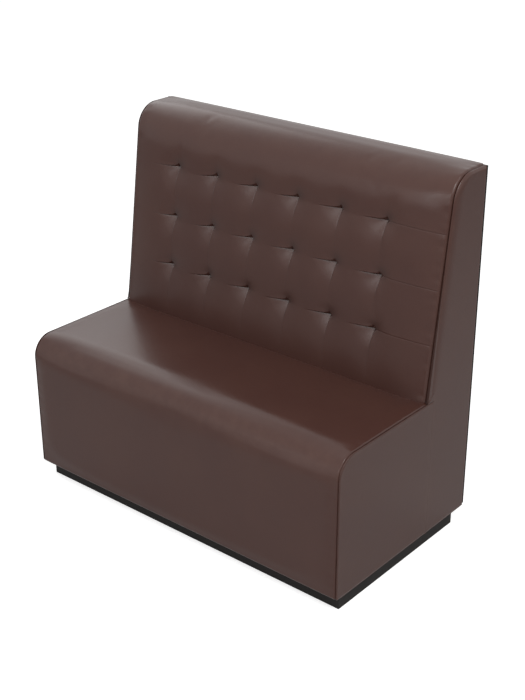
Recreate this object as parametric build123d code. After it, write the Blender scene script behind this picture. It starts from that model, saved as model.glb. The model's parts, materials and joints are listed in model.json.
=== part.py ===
from build123d import *
from math import cos, radians, sin
import os

# A restaurant booth unit: an upholstered seat box with an upholstered, tufted back behind it,
# both standing on one base board and a black plinth that is set back under the covers.
# Millimetres. X runs along the booth, Y from the sitter's legs to the wall, Z up.
# The origin is on the floor, under the middle of the booth. Left is -X, right is +X.

# Overall sizes
booth_length = 1200.0
booth_height = 1140.0
seat_height = 495.0
seat_depth = 411.0
back_lean = 8.0
top_ledge_depth = 72.0
back_overhang = 26.0

# Covers and padding
cover_thickness = 1.2
side_pad_thickness = 6.0
front_pad_thickness = 20.0
seat_foam_thickness = 85.0
back_foam_thickness = 55.0
nose_radius = 67.0
roll_radius = 80.0
seat_crown = 3.0
end_crown_share = 0.33
shoulder_crown_share = 0.5
seat_seam_drop = 2.5
seat_seam_width = 8.0
back_seam_drop = 6.0
back_seam_width = 12.0
back_edge_inset = 1.0
back_gap = 0.3
foam_ease = 0.3
hem_radius = 10.0
hem_gap = 1.0
rear_panel_thickness = 3.0
rear_panel_drop = 2.0
rear_panel_corner = 14.0

# Tufts: heights are measured out from the straight line of the back's side seams
tuft_pitch_along = 158.0
tuft_pitch_up = 158.5
first_tuft_row = 171.0
tuft_side_clearance = 150.0
tuft_top_clearance = 60.0
tuft_depth = 3.0
fold_height = 6.0
pillow_height = 14.0
roll_crown = 2.0
roll_pucker = 0.6
cut_allowance = 12.0
edge_height_share = 0.5
fade_share = 0.6

# Boards and rails
board_thickness = 18.0
base_board_thickness = 12.0
tufting_board_thickness = 12.0
insulator_thickness = 3.0
spring_rail_width = 40.0
spring_rail_height = 25.0
top_rail_height = 60.0
bottom_rail_height = 60.0
corner_block_size = 40.0
corner_block_height_share = 0.5

# Plinth
plinth_reveal = 52.5
plinth_front_inset = 36.0
plinth_side_inset = 18.0
plinth_rail_thickness = 18.0
plinth_block_size = 60.0
plinth_screw_offset = 20.0

# Springs and clips
spring_wire_radius = 1.9
spring_spacing = 140.0
spring_leg_length = 28.0
spring_turn_pitch = 22.0
clip_leaf = 1.5
clip_width = 20.0
clip_reach = 8.0

# Tuft ties
tie_radius = 1.0
tie_knot_radius = 4.0
tie_knot_height = 3.0
washer_radius = 11.0
tuft_washer_thickness = 2.0

# Fasteners
fit_gap = 0.1
screw_radius = 2.0
screw_head_radius = 4.0
screw_head_height = 2.5
screw_length = 45.0
plinth_screw_length = 40.0
panel_screw_length = 16.0
screw_end_inset = 40.0
screw_height_shares = (0.15, 0.5, 0.8)
panel_screw_shares = (-0.8, -0.4, 0.4, 0.8)
bolt_radius = 4.0
bolt_head_radius = 7.5
bolt_head_height = 5.3
bolt_washer_radius = 12.0
bolt_washer_thickness = 1.6
nut_height = 6.5
bolt_overhang = 3.0
bolt_place_share = 0.5
bolt_height_shares = (0.3, 0.75)

# Levelling feet, screwed up inside the plinth
foot_gap = 1.0
foot_travel = 12.0
foot_pad_radius = 20.0
foot_pad_thickness = 6.0
foot_boss_radius = 10.0
foot_boss_height = 5.0
foot_socket_depth = 7.0
foot_play = 0.3
running_gap = 0.05
journal_radius = 4.0
collar_radius = 8.0
collar_height = 5.0
stem_radius = 5.0
insert_flange_radius = 13.0
insert_flange_thickness = 1.5
insert_flange_gap = 0.7
insert_barrel_radius = 7.0
insert_barrel_height = 16.0
stem_hole_clearance = 0.5

# Places worked out from the sizes
lean = radians(back_lean)
half_length = booth_length / 2
skin_x = half_length - cover_thickness
frame_x = skin_x - side_pad_thickness
inner_x = frame_x - board_thickness
seam_top = booth_height - roll_crown - roll_pucker
slope_length = (seam_top - roll_radius - seat_height + roll_radius * sin(lean)) / cos(lean)
roll_run = slope_length * sin(lean) + roll_radius * cos(lean)
booth_depth = seat_depth + roll_run + top_ledge_depth + rear_panel_thickness
front_y = -booth_depth / 2
rear_y = booth_depth / 2
frame_rear_y = rear_y - rear_panel_thickness
back_face_y = front_y + seat_depth
seat_rear_y = back_face_y + back_overhang
box_front_y = front_y + cover_thickness + front_pad_thickness
roll_y = back_face_y + roll_run
roll_z = seam_top - roll_radius
base_z = plinth_reveal + cover_thickness
deck_z = base_z + base_board_thickness
foam_z = seat_height - cover_thickness - seat_foam_thickness
box_top_z = foam_z - insulator_thickness
back_foot_z = seat_height + back_gap
shelf_z = back_foot_z - board_thickness
back_stack = cover_thickness + back_foam_thickness
frame_roll_radius = roll_radius - back_stack
frame_top_z = roll_z + frame_roll_radius
rail_low_z = frame_top_z - top_rail_height
nose_y = front_y + nose_radius
nose_z = seat_height - nose_radius
hem_width = plinth_front_inset - hem_gap
side_hem_width = plinth_side_inset - hem_gap
wire_z = box_top_z - clip_leaf - fit_gap - spring_wire_radius
spring_rail_z = wire_z - spring_wire_radius - fit_gap - clip_leaf


def block(x0, x1, y0, y1, z0, z1):
    """A square-edged piece between two corners."""
    return Pos((x0 + x1) / 2, (y0 + y1) / 2, (z0 + z1) / 2) * Box(x1 - x0, y1 - y0, z1 - z0)


def upright(radius, low, high):
    """A round piece that stands on the Z axis from one height to another."""
    return Pos(0, 0, (low + high) / 2) * Cylinder(radius, high - low)


def edges_along(x, start, steps):
    """Edges in the plane at x: a step is a (y, z) point at the end of a line, or two points of an arc."""
    edges = []
    here = (x, *start)
    for step in steps:
        if isinstance(step[0], tuple):
            there = (x, *step[1])
            edges.append(Edge.make_three_point_arc(here, (x, *step[0]), there))
        else:
            there = (x, *step)
            edges.append(Edge.make_line(here, there))
        here = there
    return edges


def panel(x0, x1, start, *steps):
    """A flat piece from x0 to x1 with a closed outline in (y, z)."""
    loop = Wire(edges_along(x0, start, [*steps, start]))
    return Solid.extrude(Face(loop), Vector(x1 - x0, 0, 0))


def both_sides(shape):
    """The left and right copies of a piece that is modelled on the right."""
    return mirror(shape, Plane.YZ), shape


def on_slope(along, out):
    """(y, z) of a point so far up the back's slope and so far out from its side seams."""
    y = back_face_y + along * sin(lean) - out * cos(lean)
    z = seat_height + along * cos(lean) + out * sin(lean)
    return y, z


def slope_at(z, out):
    """(y, z) of the point at height z on the line that lies so far out from the back's side seams."""
    along = (z - seat_height - out * sin(lean)) / cos(lean)
    return on_slope(along, out)


def on_roll(radius, angle):
    """(y, z) of a point on the back's top roll, the angle running up from the front."""
    return roll_y - radius * cos(angle), roll_z + radius * sin(angle)


def roll_arc(radius):
    """The arc that carries the slope's line over to the flat top."""
    return on_roll(radius, (lean + radians(90)) / 2), on_roll(radius, radians(90))


def nose_arc(inset):
    """The arc from the seat's front face to its top."""
    run = (nose_radius - inset) * cos(radians(45))
    return (nose_y - run, nose_z + run), (nose_y, seat_height - inset)


def fastener(length, radius, head_radius, head_height, grow=0.0):
    """A countersunk screw along -Z with its head's face at the origin, or its hole when grown."""
    shank = Pos(0, 0, -(length + grow) / 2) * Cylinder(radius + grow, length + grow)
    head = Pos(0, 0, -head_height / 2) * Cone(radius + grow, head_radius + grow, head_height)
    return shank + head


def placed(shape, places):
    """A copy of the shape at each (point, outward direction)."""
    return [Plane(origin=point, z_dir=outward) * shape for point, outward in places]


def screws(places, length=screw_length):
    return placed(fastener(length, screw_radius, screw_head_radius, screw_head_height), places)


def screw_holes(places, length=screw_length):
    hole = fastener(length, screw_radius, screw_head_radius, screw_head_height, fit_gap)
    return placed(hole, places)


# Where the fasteners go
end_board_x = (inner_x + frame_x) / 2
box_board_height = box_top_z - deck_z
spring_rail_y = (
    box_front_y + board_thickness + spring_rail_width / 2,
    seat_rear_y - board_thickness - spring_rail_width / 2,
)
box_screw_places = [
    ((x, y, deck_z + share * box_board_height), (0, out, 0))
    for y, out in ((box_front_y, -1), (seat_rear_y, 1))
    for x in (-end_board_x, 0, end_board_x)
    for share in screw_height_shares
]
box_screw_places += [
    ((side * frame_x, y, spring_rail_z - spring_rail_height / 2), (side, 0, 0))
    for side in (-1, 1)
    for y in spring_rail_y
]
back_board_y = seat_rear_y + board_thickness / 2
bottom_rail_middle = deck_z + bottom_rail_height / 2
shelf_middle = shelf_z + board_thickness / 2
top_rail_middle = frame_top_z - top_rail_height / 2
back_screw_places = [
    ((side * frame_x, y, z), (side, 0, 0))
    for side in (-1, 1)
    for y, z in (
        (back_board_y, deck_z + screw_height_shares[0] * (shelf_z - deck_z)),
        (back_board_y, deck_z + screw_height_shares[-1] * (shelf_z - deck_z)),
        (frame_rear_y - screw_end_inset, shelf_middle),
        (frame_rear_y - screw_end_inset, top_rail_middle),
        (frame_rear_y - board_thickness / 2, bottom_rail_middle),
    )
]
panel_screw_places = [
    ((share * inner_x, rear_y, z), (0, 1, 0))
    for share in panel_screw_shares
    for z in (bottom_rail_middle, shelf_middle, top_rail_middle)
]
plinth_rail_x = half_length - plinth_side_inset
plinth_rail_y = rear_y - plinth_front_inset
block_x = plinth_rail_x - plinth_rail_thickness
block_y = plinth_rail_y - plinth_rail_thickness
foot_x = block_x - plinth_block_size / 2
foot_y = block_y - plinth_block_size / 2
plinth_screw_places = [
    ((side * (foot_x - plinth_screw_offset), end * y, deck_z), (0, 0, 1))
    for side in (-1, 1)
    for end in (-1, 1)
    for y in (foot_y - plinth_screw_offset, foot_y + plinth_screw_offset)
]
bolt_places = [
    (side * bolt_place_share * half_length, deck_z + share * box_board_height)
    for side in (-1, 1)
    for share in bolt_height_shares
]
collar_z = foot_gap + foot_pad_thickness + foot_boss_height + foot_play
flange_z = collar_z + collar_height + insert_flange_gap
plinth_block_z = flange_z + insert_flange_thickness
barrel_top_z = plinth_block_z + insert_barrel_height
corners = {
    f"{end}_{side}": (sx * foot_x, sy * foot_y)
    for end, sy in (("front", -1), ("back", 1))
    for side, sx in (("left", -1), ("right", 1))
}


def plinth_rails():
    """Five rails under the base board: the outer four form a closed, set-back kick."""
    front = block(-plinth_rail_x, plinth_rail_x, -plinth_rail_y, -block_y, 0, base_z)
    back = block(-plinth_rail_x, plinth_rail_x, block_y, plinth_rail_y, 0, base_z)
    left, right = both_sides(block(block_x, plinth_rail_x, -block_y, block_y, 0, base_z))
    half = plinth_rail_thickness / 2
    centre = block(-half, half, -block_y, block_y, 0, base_z)
    return {
        "plinth_front_rail": front,
        "plinth_back_rail": back,
        "plinth_left_rail": left,
        "plinth_right_rail": right,
        "plinth_centre_rail": centre,
    }


def plinth_corner_blocks():
    """Four blocks that tie the plinth's corners and carry the threaded inserts."""
    half = plinth_block_size / 2
    body = block(-half, half, -half, half, plinth_block_z, base_z)
    pocket = upright(insert_barrel_radius + fit_gap, plinth_block_z, barrel_top_z + fit_gap)
    stem_hole = upright(stem_radius + stem_hole_clearance, plinth_block_z, base_z)
    bored = body - [pocket, stem_hole]
    holes = screw_holes(plinth_screw_places, plinth_screw_length)
    return Compound([Pos(x, y, 0) * bored - holes for x, y in corners.values()])


def leveller_inserts():
    """Four threaded inserts: a barrel pressed up into the block over a wide flange."""
    flange = upright(insert_flange_radius, flange_z, plinth_block_z)
    barrel = upright(insert_barrel_radius, plinth_block_z, barrel_top_z)
    bore = upright(stem_radius + running_gap, flange_z, barrel_top_z)
    insert = flange + barrel - bore
    return Compound([Pos(x, y, 0) * insert for x, y in corners.values()])


def leveller_pad():
    """A round foot whose socket holds the stem's journal."""
    boss_z = foot_gap + foot_pad_thickness
    top = boss_z + foot_boss_height
    disc = upright(foot_pad_radius, foot_gap, boss_z)
    boss = upright(foot_boss_radius, boss_z, top)
    socket = upright(journal_radius + running_gap, top - foot_socket_depth, top)
    return disc + boss - socket


def leveller_stem():
    """A threaded stem with a hexagon collar for a spanner, and a journal that turns in the pad.

    It still fills the insert's whole length when the foot is wound out to the end of its travel.
    """
    journal = upright(journal_radius, collar_z - foot_socket_depth, collar_z)
    collar = extrude(Plane.XY.offset(collar_z) * RegularPolygon(collar_radius, 6), collar_height)
    thread = upright(stem_radius, collar_z + collar_height, barrel_top_z + foot_travel)
    return journal + collar + thread


def base_board():
    """The board that both units stand on, screwed down to the plinth's blocks."""
    board = block(-frame_x, frame_x, box_front_y, frame_rear_y, base_z, deck_z)
    return board - screw_holes(plinth_screw_places, plinth_screw_length)


def bolt_holes():
    """Clearance holes where the back is bolted to the seat box."""
    length = 2 * board_thickness
    hole = Rot(90, 0, 0) * Cylinder(bolt_radius + fit_gap, length)
    return [Pos(x, seat_rear_y, z) * hole for x, z in bolt_places]


def seat_box():
    """Front, rear and end boards with a centre divider, all standing on the base board."""
    front = block(-frame_x, frame_x, box_front_y, box_front_y + board_thickness, deck_z, box_top_z)
    rear = block(-frame_x, frame_x, seat_rear_y - board_thickness, seat_rear_y, deck_z, box_top_z)
    inside = (box_front_y + board_thickness, seat_rear_y - board_thickness)
    left, right = both_sides(block(inner_x, frame_x, *inside, deck_z, box_top_z))
    half = board_thickness / 2
    divider = block(-half, half, *inside, deck_z, spring_rail_z - spring_rail_height)
    holes = screw_holes(box_screw_places)
    return {
        "seat_front_board": front - holes,
        "seat_rear_board": rear - (holes + bolt_holes()),
        "seat_left_end": left - holes,
        "seat_right_end": right - holes,
        "seat_centre_divider": divider - holes,
    }


def seat_corner_blocks():
    """Glue blocks up the four inner corners of the seat box."""
    top = deck_z + corner_block_height_share * box_board_height
    ys = (box_front_y + board_thickness, seat_rear_y - board_thickness - corner_block_size)
    low_x = inner_x - corner_block_size
    rights = [block(low_x, inner_x, y, y + corner_block_size, deck_z, top) for y in ys]
    return Compound([copy for piece in rights for copy in both_sides(piece)])


def spring_rails():
    """Two rails between the end boards, level with the springs' ends."""
    half = spring_rail_width / 2
    rails = [
        block(-inner_x, inner_x, y - half, y + half, spring_rail_z - spring_rail_height, spring_rail_z)
        for y in spring_rail_y
    ]
    holes = screw_holes(box_screw_places)
    return {"front_spring_rail": rails[0] - holes, "rear_spring_rail": rails[1] - holes}


def spring_columns():
    """Middles of the springs along the booth, spread evenly about the centre."""
    count = int(2 * inner_x / spring_spacing)
    return [(k - (count - 1) / 2) * spring_spacing for k in range(count)]


def seat_springs():
    """Zigzag springs: legs across the wire's run, joined by half turns, from rail to rail."""
    low, high = spring_rail_y
    turns = round((high - low) / spring_turn_pitch)
    pitch = (high - low) / turns
    half = spring_leg_length / 2
    edges = []
    for k in range(turns + 1):
        side = 1 if k % 2 == 0 else -1
        x = side * half
        y = low + k * pitch
        edges.append(Edge.make_line((-x, y, wire_z), (x, y, wire_z)))
        if k < turns:
            crest = (x + side * pitch / 2, y + pitch / 2, wire_z)
            edges.append(Edge.make_three_point_arc((x, y, wire_z), crest, (x, y + pitch, wire_z)))
    section = Plane(origin=(-half, low, wire_z), z_dir=(1, 0, 0)) * Circle(spring_wire_radius)
    spring = sweep(section, path=Wire(edges))
    return Compound([Pos(x, 0, 0) * spring for x in spring_columns()])


def spring_clips():
    """Steel clips on the rails, folded over the springs' end legs."""
    slot = spring_wire_radius + fit_gap
    half = clip_width / 2
    clips = []
    for y, inward in zip(spring_rail_y, (1, -1)):
        back = y - inward * (slot + clip_leaf)
        mouth = y + inward * clip_reach
        throat = y - inward * slot
        body = block(-half, half, *sorted((back, mouth)), spring_rail_z, box_top_z)
        gap = block(-half, half, *sorted((throat, mouth)), wire_z - slot, wire_z + slot)
        clips += [Pos(x, 0, 0) * (body - gap) for x in spring_columns()]
    return Compound(clips)


def seat_chain(x, inset, skin, crown):
    """The seat cover's line at x, hem first: under the edge, up the front, round the nose, over the top.

    The line lies so far in from the outer face: inset where the side seam pulls it in, and skin for
    the cover's own thickness.
    """
    depth = inset + skin
    radius = hem_radius - skin
    low = plinth_reveal + skin
    turn = radius * (1 - cos(radians(45)))
    top_z = seat_height - depth
    hem_end = (front_y + inset + hem_width, low)
    hem_start = (front_y + inset + hem_radius, low)
    hem_arc = ((front_y + depth + turn, low + turn), (front_y + depth, low + radius))
    crown_arc = (((nose_y + back_face_y) / 2, top_z + crown), (back_face_y, top_z))
    return edges_along(
        x,
        hem_end,
        [hem_start, hem_arc, (front_y + depth, nose_z), nose_arc(depth), crown_arc, (seat_rear_y, top_z)],
    )


def across_seat(section):
    """One solid from sections across the seat: pulled in at the side seams, crowned between them.

    section(x, inset, crown) gives the closed wire at x.
    """
    shoulder = skin_x - seat_seam_width
    end_crown = end_crown_share * seat_crown
    shoulder_crown = shoulder_crown_share * seat_crown
    left_end, right_end = [section(x, seat_seam_drop, end_crown) for x in (-skin_x, skin_x)]
    left_shoulder, right_shoulder = [section(x, 0, shoulder_crown) for x in (-shoulder, shoulder)]
    body = Solid.make_loft([left_shoulder, section(0, 0, seat_crown), right_shoulder])
    left_roll = Solid.make_loft([left_end, left_shoulder], True)
    right_roll = Solid.make_loft([right_shoulder, right_end], True)
    return body + [left_roll, right_roll]


def seat_cover():
    """One piece of leatherette over the top, round the nose, down the front and under the edge."""

    def section(x, inset, crown):
        outer = seat_chain(x, inset, 0, crown)
        inner = seat_chain(x, inset, cover_thickness, crown)
        ends = [Edge.make_line(outer[k] @ k_at, inner[k] @ k_at) for k, k_at in ((0, 0), (-1, 1))]
        return Wire(outer + inner + ends)

    return across_seat(section)


def seat_foam():
    """The seat's foam block: rounded at the nose, crowned on top, level with the covers at the sides."""

    def section(x, inset, crown):
        depth = inset + cover_thickness
        top_z = seat_height - depth
        crown_arc = (((nose_y + back_face_y) / 2, top_z + crown), (back_face_y, top_z))
        start = (front_y + depth, foam_z)
        front = [(front_y + depth, nose_z), nose_arc(depth), crown_arc]
        rear = [(seat_rear_y, top_z), (seat_rear_y, foam_z)]
        return Wire(edges_along(x, start, [*front, *rear, start]))

    return across_seat(section)


def seat_front_pad():
    """Foam over the front board, below the seat foam, rounded at its lower edge like the cover."""

    def section(x, inset, crown):
        depth = inset + cover_thickness
        radius = hem_radius - cover_thickness
        turn = radius * (1 - cos(radians(45)))
        start = (front_y + depth + radius, base_z)
        hem_arc = ((front_y + depth + turn, base_z + turn), (front_y + depth, base_z + radius))
        steps = [hem_arc, (front_y + depth, foam_z), (box_front_y, foam_z), (box_front_y, base_z)]
        return Wire(edges_along(x, start, [*steps, start]))

    return across_seat(section)


def seat_side_pads():
    """Thin foam over the ends of the seat box."""
    return both_sides(block(frame_x, skin_x, box_front_y, seat_rear_y, base_z, foam_z))


def seat_side_covers():
    """Flat side covers, sewn to the seat cover round the edge and turned under the box."""
    inset = seat_seam_drop
    low = (front_y + inset + hem_radius, plinth_reveal)
    turn = hem_radius * (1 - cos(radians(45)))
    corner = ((front_y + inset + turn, plinth_reveal + turn), (front_y + inset, plinth_reveal + hem_radius))
    top = (seat_rear_y, seat_height - inset)
    steps = [corner, (front_y + inset, nose_z), nose_arc(inset), top, (seat_rear_y, plinth_reveal)]
    sheet = panel(skin_x, half_length, low, *steps)
    hem_y = front_y + inset + hem_width
    hem = block(half_length - side_hem_width, skin_x, hem_y, seat_rear_y, plinth_reveal, base_z)
    return both_sides(sheet + hem)


def back_profile(low_z, out):
    """(start, steps) of the back's side outline, its slope so far out from the side seams."""
    start = (seat_rear_y, low_z)
    radius = roll_radius + out
    steps = [
        (seat_rear_y, back_foot_z),
        slope_at(back_foot_z, out),
        on_slope(slope_length, out),
        roll_arc(radius),
        (frame_rear_y, roll_z + radius),
        (frame_rear_y, low_z),
    ]
    return start, steps


def back_gables():
    """Side frames of the back, with a rebate down the slope for the tufting board."""
    behind_board = -back_stack - tufting_board_thickness
    start, steps = back_profile(deck_z, -back_stack)
    rebate = [slope_at(back_foot_z, behind_board), on_slope(slope_length, behind_board), steps[2]]
    gable = panel(inner_x, frame_x, start, steps[0], *rebate, *steps[3:])
    holes = screw_holes(back_screw_places)
    left, right = both_sides(gable)
    return {"back_left_gable": left - holes, "back_right_gable": right - holes}


def back_boards():
    """The lower front board, shelf, ribs and rails between the gables. The upper rib stands between
    two columns of tufts, so it's in the middle only when their number is even."""
    behind_board = -back_stack - tufting_board_thickness
    board_rear_y = seat_rear_y + board_thickness
    half = board_thickness / 2
    front = block(-inner_x, inner_x, seat_rear_y, board_rear_y, deck_z, back_foot_z)
    shelf = block(-inner_x, inner_x, board_rear_y, frame_rear_y, shelf_z, back_foot_z)
    rail_y = frame_rear_y - board_thickness
    bottom_rail = block(-inner_x, inner_x, rail_y, frame_rear_y, deck_z, deck_z + bottom_rail_height)
    lower_rib = block(-half, half, board_rear_y, rail_y, deck_z, shelf_z)
    rib_x = len(tuft_columns()) % 2 * tuft_pitch_along / 2
    upper_rib = panel(
        rib_x - half,
        rib_x + half,
        slope_at(back_foot_z, behind_board),
        slope_at(rail_low_z, behind_board),
        (frame_rear_y, rail_low_z),
        (frame_rear_y, back_foot_z),
    )
    top_rail = panel(
        -inner_x,
        inner_x,
        on_slope(slope_length, -back_stack),
        roll_arc(frame_roll_radius),
        (frame_rear_y, frame_top_z),
        (frame_rear_y, rail_low_z),
        slope_at(rail_low_z, behind_board),
        on_slope(slope_length, behind_board),
    )
    side_holes = screw_holes(back_screw_places)
    panel_holes = screw_holes(panel_screw_places, panel_screw_length)
    return {
        "back_lower_front_board": front - (side_holes + bolt_holes()),
        "back_shelf": shelf - (side_holes + panel_holes),
        "back_bottom_rail": bottom_rail - (side_holes + panel_holes),
        "back_lower_rib": lower_rib,
        "back_upper_rib": upper_rib,
        "back_top_rail": top_rail - (side_holes + panel_holes),
    }


def tuft_columns():
    """Middles of the tufts along the booth."""
    count = int((booth_length - 2 * tuft_side_clearance) / tuft_pitch_along) + 1
    return [(k - (count - 1) / 2) * tuft_pitch_along for k in range(count)]


def tuft_rows():
    """Distances of the tuft rows up the slope from the seat."""
    count = int((slope_length - first_tuft_row - tuft_top_clearance) / tuft_pitch_up) + 1
    return [first_tuft_row + k * tuft_pitch_up for k in range(count)]


def at_tufts(shape, out):
    """A copy of the shape at every tuft, its Z axis pointing out of the back's face, so far out."""
    outward = (0, -cos(lean), sin(lean))
    copies = []
    for along in tuft_rows():
        for x in tuft_columns():
            copies.append(Plane(origin=(x, *on_slope(along, out)), z_dir=outward) * shape)
    return copies


def tie_holes(depth_from, depth_to):
    """Holes for the ties between two depths behind the side seams' line."""
    length = depth_to - depth_from
    hole = Cylinder(tie_radius + fit_gap, length)
    return at_tufts(hole, -(depth_from + depth_to) / 2)


def tufting_board():
    """The drilled board behind the back's foam, lying in the gables' rebates."""
    behind_board = -back_stack - tufting_board_thickness
    board = panel(
        -frame_x,
        frame_x,
        slope_at(back_foot_z, -back_stack),
        on_slope(slope_length, -back_stack),
        on_slope(slope_length, behind_board),
        slope_at(back_foot_z, behind_board),
    )
    return board - tie_holes(0, 2 * back_stack)


def tuft_ties():
    """Twine that pulls each tuft back, knotted behind its washer."""
    front = -tuft_depth - cover_thickness - foam_ease
    washer_back = -back_stack - tufting_board_thickness - tuft_washer_thickness
    length = front - washer_back
    cord = Cylinder(tie_radius, length + tie_knot_height)
    knot = Pos(0, 0, -length / 2) * Cylinder(tie_knot_radius, tie_knot_height)
    return Compound(at_tufts(cord + knot, (front + washer_back - tie_knot_height) / 2))


def tuft_washers():
    """Round washers behind the board that spread the ties' pull."""
    hole = Cylinder(tie_radius + fit_gap, tuft_washer_thickness)
    washer = Cylinder(washer_radius, tuft_washer_thickness) - hole
    middle = -back_stack - tufting_board_thickness - tuft_washer_thickness / 2
    return Compound(at_tufts(washer, middle))


def quilt_line(along, skin, seam, column, crest):
    """Edges across the back at one station up the slope, from the left seam to the right.

    The line sits at column height over the tuft columns and rises to crest height between them, and
    rolls in to the side seams. Every height is taken less the skin's thickness.
    """

    def at(x, out):
        return (x, *on_slope(along, out - skin))

    columns = tuft_columns()
    shoulder = skin_x - back_seam_width
    edge = crest * edge_height_share
    places = [(-shoulder, edge)] + [(x, column) for x in columns] + [(shoulder, edge)]
    roll_x = shoulder + back_seam_width * cos(radians(45))
    roll_out = (edge - seam) * sin(radians(45)) + seam
    edges = [Edge.make_three_point_arc(at(-skin_x, seam), at(-roll_x, roll_out), at(-shoulder, edge))]
    for (x0, out0), (x1, out1) in zip(places, places[1:]):
        edges.append(Edge.make_three_point_arc(at(x0, out0), at((x0 + x1) / 2, crest), at(x1, out1)))
    edges.append(Edge.make_three_point_arc(at(shoulder, edge), at(roll_x, roll_out), at(skin_x, seam)))
    return edges


def quilt(section):
    """The back's cushion form: rows of crowned pillows between the tufts, then the roll and the flat top.

    section(along, seam, column, crest) gives the closed wire at a station up the slope.
    """
    rows = tuft_rows()
    drop = -back_seam_drop
    low_fold = fold_height * edge_height_share
    foot = section(-cut_allowance, drop, low_fold, fold_height)
    folds = [section(along, drop, -tuft_depth, fold_height) for along in rows]
    row_ends = [-cut_allowance] + rows
    row_middles = [(low + high) / 2 for low, high in zip(row_ends, row_ends[1:])]
    middles = [section(along, drop, fold_height, pillow_height) for along in row_middles]
    fade = section((rows[-1] + slope_length) / 2, drop, low_fold, fade_share * pillow_height)
    last = section(slope_length, drop, roll_crown, roll_crown + roll_pucker)
    starts = [foot] + folds
    pieces = [Solid.make_loft([a, m, b]) for a, m, b in zip(starts, middles, folds)]
    pieces.append(Solid.make_loft([folds[-1], fade, last]))
    turn = Axis((0, roll_y, roll_z), (-1, 0, 0))
    face = Face(last)
    pieces.append(Solid.revolve(face, 90 - back_lean, turn))
    top_face = face.rotate(turn, 90 - back_lean)
    pieces.append(Solid.extrude(top_face, Vector(0, frame_rear_y - roll_y, 0)))
    form = pieces[0] + pieces[1:]
    floor = block(-half_length, half_length, front_y, rear_y, 0, back_foot_z)
    return form - floor


def back_cover():
    """The tufted leatherette front, carried over the roll to the rear edge."""

    def section(along, seam, column, crest):
        outer = quilt_line(along, 0, seam, column, crest)
        inner = quilt_line(along, cover_thickness, seam, column, crest)
        ends = [Edge.make_line(outer[0] @ 0, inner[0] @ 0), Edge.make_line(outer[-1] @ 1, inner[-1] @ 1)]
        return Wire(outer + inner + ends)

    return quilt(section)


def back_foam():
    """The back's foam, tufted like the cover, with a hole for every tie."""

    def section(along, seam, column, crest):
        front = quilt_line(along, cover_thickness + foam_ease, seam, column, crest)
        rear = [(x, *on_slope(along, -back_stack)) for x in (-skin_x, skin_x)]
        ends = [
            Edge.make_line(front[0] @ 0, rear[0]),
            Edge.make_line(rear[0], rear[1]),
            Edge.make_line(rear[1], front[-1] @ 1),
        ]
        return Wire(front + ends)

    return quilt(section) - tie_holes(-pillow_height, back_stack)


def back_side_pads():
    """Thin foam over the gables, up to the back's foam."""
    start, steps = back_profile(base_z, -back_stack)
    return both_sides(panel(frame_x, skin_x, start, *steps))


def back_side_covers():
    """Flat side covers of the back, from the seam with the tufted cover to the rear edge."""
    start, steps = back_profile(plinth_reveal, -back_edge_inset)
    sheet = panel(skin_x, half_length, start, *steps)
    hem = block(half_length - side_hem_width, skin_x, seat_rear_y, frame_rear_y, plinth_reveal, base_z)
    return both_sides(sheet + hem)


def rear_panel():
    """The black panel that closes the back of the unit, with its lower corners rounded."""
    top = seam_top - rear_panel_drop
    board = block(-half_length, half_length, frame_rear_y, rear_y, plinth_reveal, top)
    lower_corners = board.edges().filter_by(Axis.Y).sort_by(Axis.Z)[:2]
    board = fillet(lower_corners, rear_panel_corner)
    return board - screw_holes(panel_screw_places, panel_screw_length)


def joining_hardware():
    """Bolts through the two boards that meet, each with a washer at both ends and a nut."""
    face_y = board_thickness + bolt_washer_thickness
    length = 2 * face_y + nut_height + bolt_overhang
    axis = Plane(origin=(0, 0, 0), z_dir=(0, 1, 0))
    shank = extrude(axis.offset(-face_y) * Circle(bolt_radius), length)
    hexagon = RegularPolygon(bolt_head_radius, 6)
    bore = Circle(bolt_radius + fit_gap)
    head = extrude(axis.offset(-face_y - bolt_head_height) * hexagon, bolt_head_height)
    ring = Circle(bolt_washer_radius) - bore
    washers = [extrude(axis.offset(y) * ring, bolt_washer_thickness) for y in (-face_y, board_thickness)]
    nut = extrude(axis.offset(face_y) * (hexagon - bore), nut_height)
    spots = [Pos(x, seat_rear_y, z) for x, z in bolt_places]
    return {
        "joining_bolts": Compound([spot * (shank + head) for spot in spots]),
        "joining_washers": Compound([spot * washer for spot in spots for washer in washers]),
        "joining_nuts": Compound([spot * nut for spot in spots]),
    }


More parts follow.
